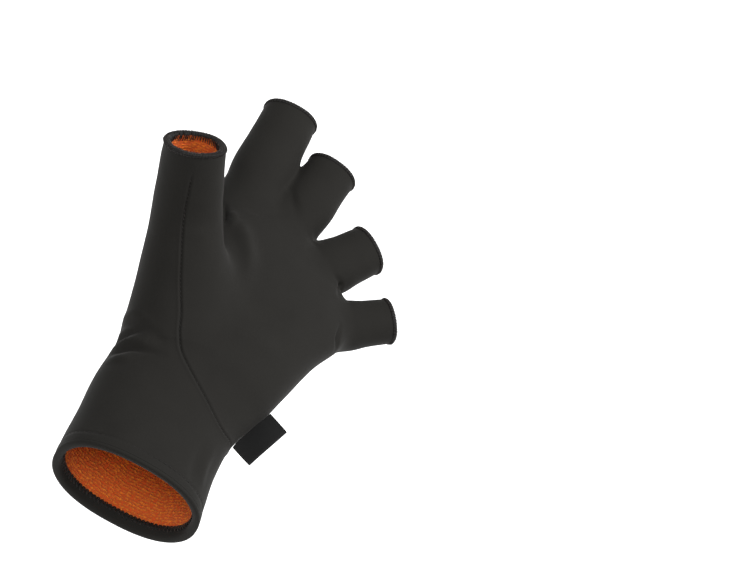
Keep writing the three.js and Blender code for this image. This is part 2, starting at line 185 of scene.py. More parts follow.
class GloveSizes(bpy.types.PropertyGroup):
    """Sizes of the worn form, as in the CAD"""
    cuff_length: millimetres("Cuff length", "Cuff edge to wrist crease", 59.5)
    cuff_width: millimetres("Cuff width", "Across the cuff opening", 73)
    cuff_slant: millimetres("Cuff slant", "How much longer the cuff is on the back", 2.2)
    cuff_depth: millimetres("Cuff depth", "Palm side to back of the cuff opening", 61)
    palm_length: millimetres("Palm length", "Wrist crease to the knuckles", 92)
    palm_width: millimetres("Palm width", "Across the knuckles", 90)
    palm_depth: millimetres("Palm depth", "Through the heel of the hand", 46)
    thumb_length: millimetres("Thumb length", "Thumb rim to its root in the palm", 84)
    thumb_width: millimetres("Thumb width", "Across the thumb rim", 28)
    thumb_depth: millimetres("Thumb depth", "Through the thumb rim", 27)
    thumb_rise: millimetres("Thumb rise", "Thumb rim above the middle of the palm", 62)
    thumb_rim_drop: millimetres("Thumb rim drop", "How much lower it is on the finger side", 2.4)
    thumb_rim_lip: millimetres("Thumb rim lip", "How much higher it is on the palm side", 2.8)
    index_length: millimetres("Index length", "Index rim to the webs", 37)
    middle_length: millimetres("Middle length", "Middle rim to the webs", 28)
    ring_length: millimetres("Ring length", "Ring rim to the webs", 24)
    little_length: millimetres("Little length", "Little rim to the webs", 24.5)
    index_width: millimetres("Index width", "Across the index rim", 25.4)
    middle_width: millimetres("Middle width", "Across the middle rim", 23.6)
    ring_width: millimetres("Ring width", "Across the ring rim", 23)
    little_width: millimetres("Little width", "Across the little rim", 20.6)
    finger_depth: bpy.props.FloatProperty(
        name="Finger depth", description="Share of a finger's width", default=0.86, min=0.3)
    finger_droop: bpy.props.FloatProperty(
        name="Finger droop", description="Lean of the fingers toward the back of the hand",
        default=math.radians(4), subtype="ANGLE")


class ClothSizes(bpy.types.PropertyGroup):
    """Thicknesses of the cloth, hems and tag, and how far the forms melt together"""
    shell_wall: millimetres("Shell wall", "Thickness of the stretch jersey", 1.2)
    lining_wall: millimetres("Lining wall", "Thickness of the knitted lining", 0.9)
    layer_gap: millimetres("Layer gap", "Space between shell and lining", 0.35)
    cloth_grid: millimetres("Cloth grid", "Grid of the jersey mesh", 1.03)
    lining_grid: millimetres("Lining grid", "Grid of the plain lining mesh", 1.7)
    thumb_melt: millimetres("Thumb melt", "How softly the thumb runs into the palm", 15)
    finger_melt: millimetres("Finger melt", "How softly the fingers run into the palm", 4)
    bead_height: millimetres("Bead height", "Overlocked edge, along the stall", 1.9)
    bead_proud: millimetres("Bead proud", "How far that edge stands out", 0.2)
    roll_height: millimetres("Roll height", "Rolled cuff edge, along the cuff", 2.2)
    band_width: millimetres("Band width", "Black band inside the cuff", 5.6)
    band_wall: millimetres("Band wall", "Thickness of that band", 1.1)
    row_pitch: millimetres("Row pitch", "From one row of the lining to the next", 1.45)
    row_height: millimetres("Row height", "Height of a row of the lining", 0.55)
    tag_reach: millimetres("Tag reach", "Folded tag, out from the shell", 11.4)
    tag_ply: millimetres("Tag ply", "Thickness of the tag's tape", 0.32)
    tag_lean: bpy.props.FloatProperty(
        name="Tag lean", description="Lean of the tag toward the cuff",
        default=math.radians(22), subtype="ANGLE")


class StitchSizes(bpy.types.PropertyGroup):
    """Threads and spacings of the stitches"""
    overlock_step: millimetres("Overlock step", "From one overlock stitch to the next", 1.45)
    overlock_depth: millimetres("Overlock depth", "How far the stitch reaches inside", 4.0)
    overlock_thread: millimetres("Overlock thread", "Radius of the overlock thread", 0.21)
    scallop_step: millimetres("Scallop step", "From one band stitch to the next", 2.1)
    cover_step: millimetres("Cover step", "From one coverstitch to the next", 2.7)
    cover_along: millimetres("Cover place", "Coverstitch line from the cuff edge", 7.2)
    seam_step: millimetres("Seam step", "From one seam stitch to the next", 1.9)


class GloveColours(bpy.types.PropertyGroup):
    """Colours of the cloths and threads"""
    jersey: colour("Jersey", "Matt stretch jersey", "1b1a18")
    # The lining's lighter colour stands for the lit tops of its rows. The darker colour is painted shade
    # between the rows and loops. Random tufts also mix between the two.
    knit_lit: colour("Knit light", "Top of the lining's rows", "ff8c16")
    knit_shade: colour("Knit dark", "Between the lining's rows", "b04206")
    thread: colour("Thread", "Overlock thread", "0d0b0a")
    tape: colour("Tape", "Woven tag tape", "080808")
    floor: colour("Floor", "Studio floor", "fafafa")


def catmull(rows, t):
    """The rows' smooth curve at places t, running straight on past both ends."""
    rows = np.asarray(rows, float)
    t = np.atleast_1d(np.asarray(t, float))
    last = len(rows) - 1
    i = np.clip(np.floor(t).astype(int), 0, last - 1)
    u = (t - i)[:, None]
    here, there = rows[i], rows[i + 1]
    before = np.where((i > 0)[:, None], rows[np.maximum(i - 1, 0)], 2 * here - there)
    after = np.where((i + 2 <= last)[:, None], rows[np.minimum(i + 2, last)], 2 * there - here)
    smooth = 0.5 * (before * (-u**3 + 2 * u**2 - u) + here * (3 * u**3 - 5 * u**2 + 2)
                    + there * (-3 * u**3 + 4 * u**2 + u) + after * (u**3 - u**2))
    below = here + (there - before) * u / 2
    above = there + (after - here) * (u - 1) / 2
    return np.where(u < 0, below, np.where(u > 1, above, smooth))


def lengths(vectors):
    return np.sqrt((vectors * vectors).sum(-1))


def across_line(profile, way):
    """Height of the cloth at this way from a line, from a table of heights, places and widths."""
    return sum(height * MM * np.exp(-((way - place * MM) / (half * MM)) ** 2)
               for height, place, half in profile)


class Tube:
    """The hand or a stall: sections along it, each a centre, half width and half depth."""

    def __init__(self, name, rows, roundness, edge):
        self.name = name
        self.roundness = roundness
        self.edge = edge
        self.rows = np.array(rows)
        last = len(rows) - 1
        first = -OVERRUN / lengths(self.rows[1, :3] - self.rows[0, :3])
        fine = np.unique(np.concatenate([[first], np.arange(0, last + 0.001, 0.1)]))
        cut = catmull(self.rows, fine)
        self.centre, self.wide, self.deep = cut[:, :3], cut[:, 3:6], cut[:, 6:]
        self.t = fine
        run = np.concatenate([[0], np.cumsum(lengths(np.diff(self.centre, axis=0)))])
        self.along = run - run[1]
        normal = np.cross(self.wide, self.deep)
        normal /= lengths(normal)[:, None]
        if (self.centre[1] - self.centre[0]) @ normal[0] < 0:
            normal = -normal
        self.normal = normal
        self.offset = (self.centre * normal).sum(1)

    def measure(self, points):
        """Distance of the points from the tube's side, and how far in from its rim they are."""
        parts = [self._measure(points[i:i + MAX_CHUNK]) for i in range(0, len(points), MAX_CHUNK)]
        return np.concatenate([p[0] for p in parts]), np.concatenate([p[1] for p in parts])

    def _measure(self, points):
        depth = points @ self.normal.T - self.offset
        between = (depth[:, :-1] >= 0) & (depth[:, 1:] < 0)
        beyond = np.where(depth[:, -1] >= 0, depth.shape[1] - 2, 0)
        i = np.where(between.any(1), between.argmax(1), beyond)
        row = np.arange(len(points))
        a, b = depth[row, i], depth[row, i + 1]
        share = np.clip(a / np.where(np.abs(a - b) < 1e-12, 1e-12, a - b), 0, 1)[:, None]
        centre = self.centre[i] + (self.centre[i + 1] - self.centre[i]) * share
        wide = self.wide[i] + (self.wide[i + 1] - self.wide[i]) * share
        deep = self.deep[i] + (self.deep[i + 1] - self.deep[i]) * share
        along = self.along[i] + (self.along[i + 1] - self.along[i]) * share[:, 0]
        away = points - centre
        w, d, n = lengths(wide), lengths(deep), self.roundness
        x = np.abs((away * wide).sum(1)) / w**2
        z = np.abs((away * deep).sum(1)) / d**2
        r = np.maximum((x**n + z**n) ** (1 / n), 1e-5)
        slope = np.sqrt(((x / r) ** (n - 1) / w) ** 2 + ((z / r) ** (n - 1) / d) ** 2)
        side = (r - 1) / np.maximum(slope, 1e-6)
        return np.maximum(side, np.maximum(-depth[:, 0], depth[:, -1])), along

    def ring(self, along, inset, angles):
        """Points round the tube, each row of them at one place along it and one inset."""
        along = np.atleast_1d(along)
        cut = catmull(self.rows, np.interp(along, self.along, self.t))[:, None, :]
        inset = np.asarray(inset, float)
        inset = inset[:, None] if inset.ndim == 1 else inset
        power = 2 / self.roundness
        a, b = np.cos(angles)[None, :], np.sin(angles)[None, :]
        w, d = lengths(cut[..., 3:6]), lengths(cut[..., 6:])
        x = np.sign(a) * np.abs(a) ** power * (w - inset) / w
        z = np.sign(b) * np.abs(b) ** power * (d - inset) / d
        return cut[..., :3] + cut[..., 3:6] * x[..., None] + cut[..., 6:] * z[..., None]


def across_hand(thumb_edge, little_edge, depth, slant=0.0):
    thumb_edge, little_edge = np.array(thumb_edge), np.array(little_edge)
    return np.concatenate([(thumb_edge + little_edge) / 2, (little_edge - thumb_edge) / 2,
                           [0, slant, depth / 2]])


def across_stall(centre, direction, width, depth):
    wide = np.cross(direction, [0, 0, 1])
    wide /= lengths(wide)
    deep = np.cross(wide, direction)
    return np.concatenate([centre, wide * width / 2, deep / lengths(deep) * depth / 2])


def glove_tubes(scene):
    """The hand, the thumb and the four finger stalls of the worn form."""
    s, c = scene.glove_sizes, scene.glove_cloth
    rows = []
    for at, thumb, little, depth in CUFF_SECTIONS:
        y = at * s.cuff_length
        rows.append(across_hand((thumb * s.cuff_width, y, 0), (little * s.cuff_width, y, 0),
                                depth * s.cuff_depth, s.cuff_slant / 2 * (1 - at) ** 2))
    for thumb_out, thumb_at, little_out, little_at, depth, lift in HAND_SECTIONS:
        z = lift * s.palm_depth
        rows.append(across_hand(
            (thumb_out * s.palm_width, s.cuff_length + thumb_at * s.palm_length, z),
            (little_out * s.palm_width, s.cuff_length + little_at * s.palm_length, z),
            depth * s.palm_depth))
    tubes = [Tube("hand", rows, HAND_ROUNDNESS, c.roll_height)]

    place = np.array([(out * s.palm_width, s.cuff_length + at * s.palm_length, rise * s.thumb_rise)
                      for out, at, rise, _, _ in THUMB_SECTIONS])
    root = place[-1]
    place = root + (place - root) * s.thumb_length / lengths(place[0] - root)
    rows = []
    for i, (_, _, _, width, depth) in enumerate(THUMB_SECTIONS):
        direction = place[max(i - 1, 0)] - place[min(i + 1, len(place) - 1)]
        direction /= lengths(direction)
        cut = across_stall(place[i], direction, width * s.thumb_width, depth * s.thumb_depth)
        if i == 0:
            cut[3:6] -= direction * s.thumb_rim_drop / 2
            cut[6:] += direction * s.thumb_rim_lip / 2
        rows.append(cut)
    tubes.append(Tube("thumb", rows, STALL_ROUNDNESS, c.bead_height))

    for name, out, at, heading, flare in FINGERS:
        length, width = getattr(s, name + "_length"), getattr(s, name + "_width")
        turn = math.radians(heading)
        level = math.cos(s.finger_droop)
        direction = np.array([math.sin(turn) * level, math.cos(turn) * level,
                              -math.sin(s.finger_droop)])
        web = np.array([out * s.palm_width, s.cuff_length + at * s.palm_length,
                        FINGER_LIFT * s.palm_depth])
        rows = []
        for start, wider in ((length, 1), (length / 2, 1 + (flare - 1) * 0.35), (0, flare),
                             (-FINGER_ROOT * s.palm_length, flare * 0.8)):
            rows.append(across_stall(web + direction * start, direction, width * wider,
                                     width * s.finger_depth * (1 + (wider - 1) * 0.6)))
        tubes.append(Tube(name, rows, STALL_ROUNDNESS, c.bead_height))
    return tubes


class GloveForm:
    """The whole glove as one soft form: distances, nearest points and folds."""

    def __init__(self, scene):
        self.tubes = glove_tubes(scene)
        c, s = scene.glove_cloth, scene.glove_sizes
        self.melt = [0, c.thumb_melt] + [c.finger_melt] * 4
        seam = [(out * s.palm_width, s.cuff_length + at * s.palm_length) for out, at in PANEL_SEAM]
        self.seam = catmull(seam, np.linspace(0, len(seam) - 1, 400))
        self.cover_along = scene.glove_stitches.cover_along
        self.folds = []
        for height, half, line in FOLDS:
            points = np.array(line) * MM
            fine = catmull(points, np.linspace(0, len(points) - 1, 24))
            self.folds.append((height * MM, half * MM, fine))

    def distance(self, points):
        whole = None
        for tube, melt in zip(self.tubes, self.melt):
            own = tube.measure(points)[0]
            if whole is None:
                whole = own
                continue
            share = np.clip(0.5 + 0.5 * (own - whole) / melt, 0, 1)
            whole = own + (whole - own) * share - melt * share * (1 - share)
        return whole

    def slope(self, points, base):
        step = 0.2 * MM
        away = np.stack([self.distance(points + step * axis) - base for axis in np.eye(3)], 1)
        return away / step

    def settle(self, points, level, tries=3):
        """Moves the points onto the surface that lies at this distance, and gives its normals."""
        for _ in range(tries):
            base = self.distance(points)
            slope = self.slope(points, base)
            move = ((base - level) / np.maximum((slope**2).sum(1), 0.1))[:, None] * slope
            size = lengths(move)[:, None]
            points = points - move * np.minimum(1, 2 * MM / np.maximum(size, 1e-9))
        slope = self.slope(points, self.distance(points))
        return points, slope / np.maximum(lengths(slope), 1e-9)[:, None]

    def seam_side(self, points):
        """Signed way from the panel seam, seen from above: positive on the finger side."""
        result = np.empty(len(points))
        ahead = np.diff(self.seam, axis=0)
        ahead = np.vstack([ahead, ahead[-1:]])
        for i in range(0, len(points), MAX_CHUNK):
            part = points[i:i + MAX_CHUNK, :2]
            gap = ((part[:, None, :] - self.seam[None]) ** 2).sum(-1)
            k = gap.argmin(1)
            away = part - self.seam[k]
            tangent = ahead[k] / lengths(ahead[k])[:, None]
            result[i:i + MAX_CHUNK] = tangent[:, 0] * away[:, 1] - tangent[:, 1] * away[:, 0]
        return result

    def seam_way(self, points, normals):
        """The same way measured on the cloth, which is steeper than the view from above."""
        step = 0.3 * MM
        here = self.seam_side(points)
        turn = np.stack([self.seam_side(points + step * axis) - here
                         for axis in (np.array([1.0, 0, 0]), np.array([0, 1.0, 0]))], 1) / step
        turn = np.column_stack([turn, np.zeros(len(points))])
        flat = turn - (turn * normals).sum(1)[:, None] * normals
        return here / np.maximum(lengths(flat), 0.25)

    def seam_path(self):
        """The seam on the palm side, from the thumb to the wrist, with the cloth's normals."""
        line = self.seam
        points = np.column_stack([line, np.full(len(line), 0.12)])
        for _ in range(60):
            points[:, 2] -= 0.8 * self.distance(points)
        slope = self.slope(points, self.distance(points))
        normals = slope / np.maximum(lengths(slope), 1e-9)[:, None]
        thumb = self.tubes[1].measure(points)[1]
        keep = (points[:, 2] > 0) & (np.abs(self.distance(points)) < 0.1 * MM) & (thumb > 13 * MM)
        keep &= normals[:, 2] > 0.25
        return points[keep], normals[keep]

    def relief(self, points, normals):
        """Height of the folds, waves, seam and stitch groove at points of the surface."""
        height = np.zeros(len(points))
        for size, half, line in self.folds:
            low, high = line.min(0) - 3 * half, line.max(0) + 3 * half
            near = ((points > low) & (points < high)).all(1)
            if not near.any():
                continue
            gap = ((points[near, None, :] - line[None]) ** 2).sum(-1)
            k = gap.argmin(1)
            fade = np.sin(math.pi * (k + 1) / (len(line) + 1)) ** 0.7
            q = gap[np.arange(len(k)), k] / half**2
            height[near] += size * fade * np.exp(-q) * (1 - 0.45 * q)
        waves = np.array([
            sum(size * noise.noise(Vector(p) * turns + Vector(shift)) for size, turns, shift in WAVES)
            for p in points]) * MM
        quiet, sewn, cover = np.ones(len(points)), np.ones(len(points)), 0
        for tube in self.tubes:
            side, along = tube.measure(points)
            here = np.abs(side) < 2 * MM
            edge = np.clip((along - tube.edge) / EDGE_CALM, 0, 1)
            quiet = np.where(here, np.minimum(quiet, edge * edge * (3 - 2 * edge)), quiet)
            if tube.name == "thumb":
                sewn = np.where(here, np.clip((along - SEAM_START) / SEAM_FADE, 0, 1), sewn)
            if tube.name == "hand":
                cover = np.where(here, across_line(COVER_PROFILE, along - self.cover_along), 0)
        seam = across_line(SEAM_PROFILE, self.seam_way(points, normals)) * sewn
        return (height + waves) * quiet + seam * np.minimum(1, 0.25 + quiet) + cover


def mesh_arrays(mesh):
    points = np.empty(len(mesh.vertices) * 3)
    mesh.vertices.foreach_get("co", points)
    edges = np.empty(len(mesh.edges) * 2, int)
    mesh.edges.foreach_get("vertices", edges)
    return points.reshape(-1, 3), edges.reshape(-1, 2)


def put_points(mesh, points):
    mesh.vertices.foreach_set("co", np.ascontiguousarray(points, dtype=np.float32).ravel())
    mesh.update()


def relaxed(points, edges):
    """Each point drawn halfway to the middle of its neighbours."""
    count = np.bincount(edges.ravel(), minlength=len(points)).astype(float)
    total = np.zeros_like(points)
    for axis in range(3):
        total[:, axis] = (np.bincount(edges[:, 0], points[edges[:, 1], axis], len(points))
                          + np.bincount(edges[:, 1], points[edges[:, 0], axis], len(points)))
    return points + 0.5 * (total / np.maximum(count, 1)[:, None] - points)


def mesh_from(name, points, faces):
    mesh = bpy.data.meshes.new(name)
    mesh.from_pydata([tuple(p) for p in points], [], faces)
    mesh.update()
    return mesh


def linked(name, mesh):
    obj = bpy.data.objects.new(name, mesh)
    bpy.context.scene.collection.objects.link(obj)
    return obj


def evaluated(obj, name):
    """The object's mesh with its modifiers as a plain mesh; the modifiers are removed."""
    graph = bpy.context.evaluated_depsgraph_get()
    graph.update()
    mesh = bpy.data.meshes.new_from_object(obj.evaluated_get(graph), depsgraph=graph)
    mesh.name = name
    obj.modifiers.clear()
    old = obj.data
    obj.data = mesh
    bpy.data.meshes.remove(old)
    return mesh


def smooth(mesh, angle=50):
    mesh.shade_smooth()
    mesh.set_sharp_from_angle(angle=math.radians(angle))


def grid_faces(rows, columns, close_rows):
    """Faces between rows of points that stand in closed columns."""
    faces = []
    for i in range(rows if close_rows else rows - 1):
        low, high = i * columns, (i + 1) % rows * columns
        for j in range(columns):
            k = (j + 1) % columns
            faces.append((low + j, high + j, high + k, low + k))
    return faces


def outward(points, faces):
    """The faces, all turned if the closed form they make is inside out."""
    points = np.asarray(points)
    quads = np.array(faces)
    a, b, c, d = (points[quads[:, i]] for i in range(4))
    volume = (np.cross(a, b) * c).sum() + (np.cross(a, c) * d).sum()
    return faces if volume > 0 else [face[::-1] for face in faces]


def whole_form(form, grid):
    """Even mesh of the closed outer form, with every tube run on past its rim."""
    points, faces = [], []
    angles = np.linspace(0, 2 * math.pi, RING_POINTS, endpoint=False)
    for tube in form.tubes:
        start = len(points)
        along = tube.along
        rings = tube.ring(along, np.zeros(len(along)), angles)
        rows = len(rings)
        own = [tuple(p) for p in rings.reshape(-1, 3)]
        sides = grid_faces(rows, RING_POINTS, False)
        first, last = len(own), len(own) + 1
        own += [tuple(rings[0].mean(0)), tuple(rings[-1].mean(0))]
        ends = [(first, j, (j + 1) % RING_POINTS) for j in range(RING_POINTS)]
        base = (rows - 1) * RING_POINTS
        ends += [(last, base + (j + 1) % RING_POINTS, base + j) for j in range(RING_POINTS)]
        if outward(own, sides) is not sides:
            sides = [face[::-1] for face in sides]
            ends = [face[::-1] for face in ends]
        points += own
        faces += [tuple(v + start for v in face) for face in sides + ends]
    obj = linked("form", mesh_from("form", points, faces))
    remesh = obj.modifiers.new("even", "REMESH")
    remesh.mode = "VOXEL"
    remesh.voxel_size = grid
    mesh = evaluated(obj, "form")
    return obj, mesh


def rim_cut(form, tube, points, owner, inset_along):
    """Value that is negative beyond the cut across a tube near its rim."""
    start = np.interp(inset_along, tube.along, np.arange(len(tube.along)))
    low = int(start)
    share = start - low
    centre = tube.centre[low] * (1 - share) + tube.centre[low + 1] * share
    normal = tube.normal[low]
    along = tube.measure(points)[1]
    near = (owner == form.tubes.index(tube)) & (along < inset_along + 6 * MM)
    return np.where(near, (points - centre) @ normal, 1.0)


def cut_mesh(work, layer):
    """Cuts the faces of a bmesh where the value on its points changes sign."""
    crossing = [e for e in work.edges if e.verts[0][layer] * e.verts[1][layer] < 0]
    for edge in crossing:
        a, b = edge.verts
        share = a[layer] / (a[layer] - b[layer])
        place = a.co.lerp(b.co, share)
        _, vert = bmesh.utils.edge_split(edge, a, share)
        vert.co = place
        vert[layer] = 0.0
    for face in list(work.faces):
        zero = [v for v in face.verts if v[layer] == 0.0]
        if len(zero) == 2 and not any(zero[0] in e.verts and zero[1] in e.verts for e in face.edges):
            bmesh.utils.face_split(face, zero[0], zero[1])


def keep_side(work, layer, sign):
    """Deletes the faces on the other side of the cut."""
    gone = [f for f in work.faces if sum(v[layer] for v in f.verts) * sign < 0]
    bmesh.ops.delete(work, geom=gone, context="FACES")


def set_values(work, layer, values):
    for vert, value in zip(work.verts, values):
        vert[layer] = value


def work_points(work):
    return np.array([v.co for v in work.verts])


def move_points(work, points):
    for vert, place in zip(work.verts, points):
        vert.co = place


def drop_loose(work):
    """Deletes the points that no face uses."""
    loose = [v for v in work.verts if not v.link_faces]
    bmesh.ops.delete(work, geom=loose, context="VERTS")


def finished_mesh(work, name):
    """The bmesh as a plain mesh, without the values that its cuts used."""
    mesh = bpy.data.meshes.new(name)
    work.to_mesh(mesh)
    work.free()
    mesh.attributes.remove(mesh.attributes["cut"])
    return mesh


def open_cloth(form, grid, level, edge_gap, fine_seam):
    """Open cloth surface at one distance from the outer form, cut off at all six rims."""
    obj, mesh = whole_form(form, grid)
    points, edges = mesh_arrays(mesh)
    for _ in range(3):
        points, _ = form.settle(points, level, 2)
        points = relaxed(points, edges)
    points, _ = form.settle(points, level, 2)
    put_points(mesh, points)
    work = bmesh.new()
    work.from_mesh(mesh)
    bpy.data.objects.remove(obj)
    layer = work.verts.layers.float.new("cut")
    if fine_seam:
        way = form.seam_side(work_points(work))
        set_values(work, layer, way)
        near = [e for e in work.edges if all(abs(v[layer]) < NEAR_SEAM for v in e.verts)]
        bmesh.ops.subdivide_edges(work, edges=near, cuts=1, use_grid_fill=True)
        hand = form.tubes[0]
        points = work_points(work)
        own, along = hand.measure(points)
        gap = np.where(np.abs(own - level) < 3 * MM, np.abs(along - form.cover_along), 1)
        set_values(work, layer, gap)
        near = [e for e in work.edges if all(v[layer] < NEAR_COVER for v in e.verts)]
        bmesh.ops.subdivide_edges(work, edges=near, cuts=1, use_grid_fill=True)
        many = [f for f in work.faces if len(f.verts) > 4]
        bmesh.ops.triangulate(work, faces=many)
    for tube in form.tubes:
        points = work_points(work)
        owner = np.argmin(np.stack([t.measure(points)[0] for t in form.tubes]), 0)
        set_values(work, layer, rim_cut(form, tube, points, owner, tube.edge + edge_gap))
        cut_mesh(work, layer)
        keep_side(work, layer, 1)

    # Nothing stays outside the real stalls past a rim, or bridges two stalls that stand close.
    points = work_points(work)
    beyond, inside = np.zeros(len(points), bool), np.ones(len(points))
    for tube in form.tubes:
        own, along = tube.measure(points)
        beyond |= (own < 2 * MM) & (along < -0.2 * MM)
        inside = np.minimum(inside, np.maximum(own, -along))
    stray = beyond & (inside > level + STRAY)
    work.verts.index_update()
    middles = np.array([f.calc_center_median() for f in work.faces])
    bridge = form.distance(middles) > level + BRIDGE
    gone = [f for f, over in zip(work.faces, bridge) if over or any(stray[v.index] for v in f.verts)]
    bmesh.ops.delete(work, geom=gone, context="FACES")
    drop_loose(work)
    return work, layer


def cloth_wall(obj, thickness, offset=-1.0, angle=55):
    """Gives a sheet its thickness, inwards at an offset of -1 and to both sides at 0."""
    wall = obj.modifiers.new("wall", "SOLIDIFY")
    wall.thickness = thickness
    wall.offset = offset
    wall.use_rim = True
    smooth(evaluated(obj, obj.name), angle)


def add_node(tree, kind, settings=None, **links):
    """Adds a node. Settings are its own values; links are its inputs, a value or a socket."""
    node = tree.nodes.new(kind)
    for key, value in (settings or {}).items():
        setattr(node, key, value)
    for key, value in links.items():
        index = int(key[2:]) if key.startswith("at") and key[2:].isdigit() else None
        socket = node.inputs[index] if index is not None else node.inputs[key.replace("_", " ")]
        if isinstance(value, bpy.types.NodeSocket):
            tree.links.new(value, socket)
        else:
            socket.default_value = value
    return node


def new_material(name):
    material = bpy.data.materials.new(name)
    material.use_nodes = True
    tree = material.node_tree
    tree.nodes.clear()
    output = tree.nodes.new("ShaderNodeOutputMaterial")
    shader = tree.nodes.new("ShaderNodeBsdfPrincipled")
    tree.links.new(shader.outputs[0], output.inputs[0])
    return material, tree, shader


def shader_values(shader, **values):
    for key, value in values.items():
        shader.inputs[key.replace("_", " ")].default_value = value


def object_place(tree):
    return add_node(tree, "ShaderNodeTexCoord").outputs["Object"]


def times_plus(tree, value, factor, plus, clamp=False):
    """A value times a factor, plus a number or another value."""
    return add_node(tree, "ShaderNodeMath", {"operation": "MULTIPLY_ADD", "use_clamp": clamp},
                    at0=value, at1=factor, at2=plus).outputs[0]


def paint(tree, shader, share, dark, light):
    """Base colour between dark and light, by a share that varies over the cloth."""
    mix = add_node(tree, "ShaderNodeMix", {"data_type": "RGBA"}, at0=share, at6=dark, at7=light)
    tree.links.new(mix.outputs[2], shader.inputs["Base Color"])


def emboss(tree, shader, height, strength, distance):
    bump = add_node(tree, "ShaderNodeBump", Strength=strength, Distance=distance, Height=height)
    tree.links.new(bump.outputs[0], shader.inputs["Normal"])


def stretch_jersey(scene):
    """Brushed stretch jersey: matt charcoal with a faint bloom at grazing light."""
    if "brushed_stretch_jersey" in bpy.data.materials:
        return bpy.data.materials["brushed_stretch_jersey"]
    base = scene.glove_colours.jersey
    material, tree, shader = new_material("brushed_stretch_jersey")
    shader_values(shader, Roughness=0.85, IOR=1.46, Specular_IOR_Level=0.12,
                  Sheen_Weight=0.03, Sheen_Roughness=0.4, Sheen_Tint=(0.9, 0.88, 0.86, 1))
    place = object_place(tree)
    # The knit's wales are about 0.35 mm apart. They are drawn at 0.7 mm so that they show.
    wales = add_node(tree, "ShaderNodeTexNoise", Vector=place, Scale=1450.0, Detail=2.0,
                     Roughness=0.6)
    patches = add_node(tree, "ShaderNodeTexNoise", Vector=place, Scale=85.0, Detail=4.0)
    light = tuple(min(1, c * 1.22) for c in base[:3]) + (1,)
    dark = tuple(c * 0.8 for c in base[:3]) + (1,)
    share = times_plus(tree, patches.outputs[0], 0.4, times_plus(tree, wales.outputs[0], 0.6, 0.0))
    paint(tree, shader, share, dark, light)
    emboss(tree, shader, wales.outputs[0], 0.35, 0.18 * MM)
    return material


def lining_knit(scene):
    """Knitted fleece lining: orange terry loops in rows, with painted shade between the rows and between
    the loops.
    """
    if "orange_terry_knit" in bpy.data.materials:
        return bpy.data.materials["orange_terry_knit"]
    colours = scene.glove_colours
    material, tree, shader = new_material("orange_terry_knit")
    shader_values(shader, Roughness=0.95, IOR=1.45, Sheen_Weight=0.12, Sheen_Roughness=0.5,
                  Sheen_Tint=(1.0, 0.62, 0.35, 1))
    place = object_place(tree)
    # Loops are about 0.8 mm.
    loops = add_node(tree, "ShaderNodeTexVoronoi", {"feature": "F1"}, Vector=place, Scale=1250.0)
    tufts = add_node(tree, "ShaderNodeTexNoise", Vector=place, Scale=620.0, Detail=4.0,
                     Roughness=0.75)
    pile = add_node(tree, "ShaderNodeAttribute", {"attribute_name": "pile"})
    # Share of the two colours: random tufts, plus painted shade that is darker where a row sinks and
    # between the loops.
    share = times_plus(tree, tufts.outputs[0], 2.3, -0.95)
    share = times_plus(tree, pile.outputs["Fac"], 0.62, share)
    share = times_plus(tree, loops.outputs[0], -0.35, share, clamp=True)
    paint(tree, shader, share, colours.knit_shade, colours.knit_lit)
    emboss(tree, shader, share, 1.0, 0.9 * MM)
    return material


def overlock_thread(scene):
    """Textured polyester sewing thread: black-brown with a soft brownish shine."""
    if "polyester_thread" in bpy.data.materials:
        return bpy.data.materials["polyester_thread"]
    material, tree, shader = new_material("polyester_thread")
    shader_values(shader, Base_Color=scene.glove_colours.thread, Roughness=0.55, IOR=1.5,
                  Specular_IOR_Level=0.25, Sheen_Weight=0.08, Sheen_Roughness=0.4,
                  Sheen_Tint=(1.0, 0.8, 0.7, 1))
    plies = add_node(tree, "ShaderNodeTexNoise", Vector=object_place(tree), Scale=2600.0,
                     Detail=1.0)
    emboss(tree, shader, plies.outputs[0], 0.5, 0.1 * MM)
    return material


def woven_tape(scene):
    """Woven satin tag tape: black, smooth, with a dull shine along its ribs."""
    if "woven_satin_tape" in bpy.data.materials:
        return bpy.data.materials["woven_satin_tape"]
    material, tree, shader = new_material("woven_satin_tape")
    shader_values(shader, Base_Color=scene.glove_colours.tape, Roughness=0.6, IOR=1.48,
                  Specular_IOR_Level=0.12)
    uv = add_node(tree, "ShaderNodeUVMap", {"uv_map": "tape"}).outputs[0]
    # Weft ribs 0.5 mm apart. The UV map is in millimetres, and a wave repeats every 20/scale.
    ribs = add_node(tree, "ShaderNodeTexWave", {"bands_direction": "X"}, Vector=uv, Scale=0.64)
    emboss(tree, shader, ribs.outputs[1], 0.5, 0.1 * MM)
    return material


def dress(obj, material, slot, *nodes):
    """Gives a finished piece its material, body and the CAD nodes it stands for. The slot is not used.
    """
    obj.data.materials.clear()
    obj.data.materials.append(material)
    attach(obj, "root")
    if nodes:
        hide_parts(*nodes)


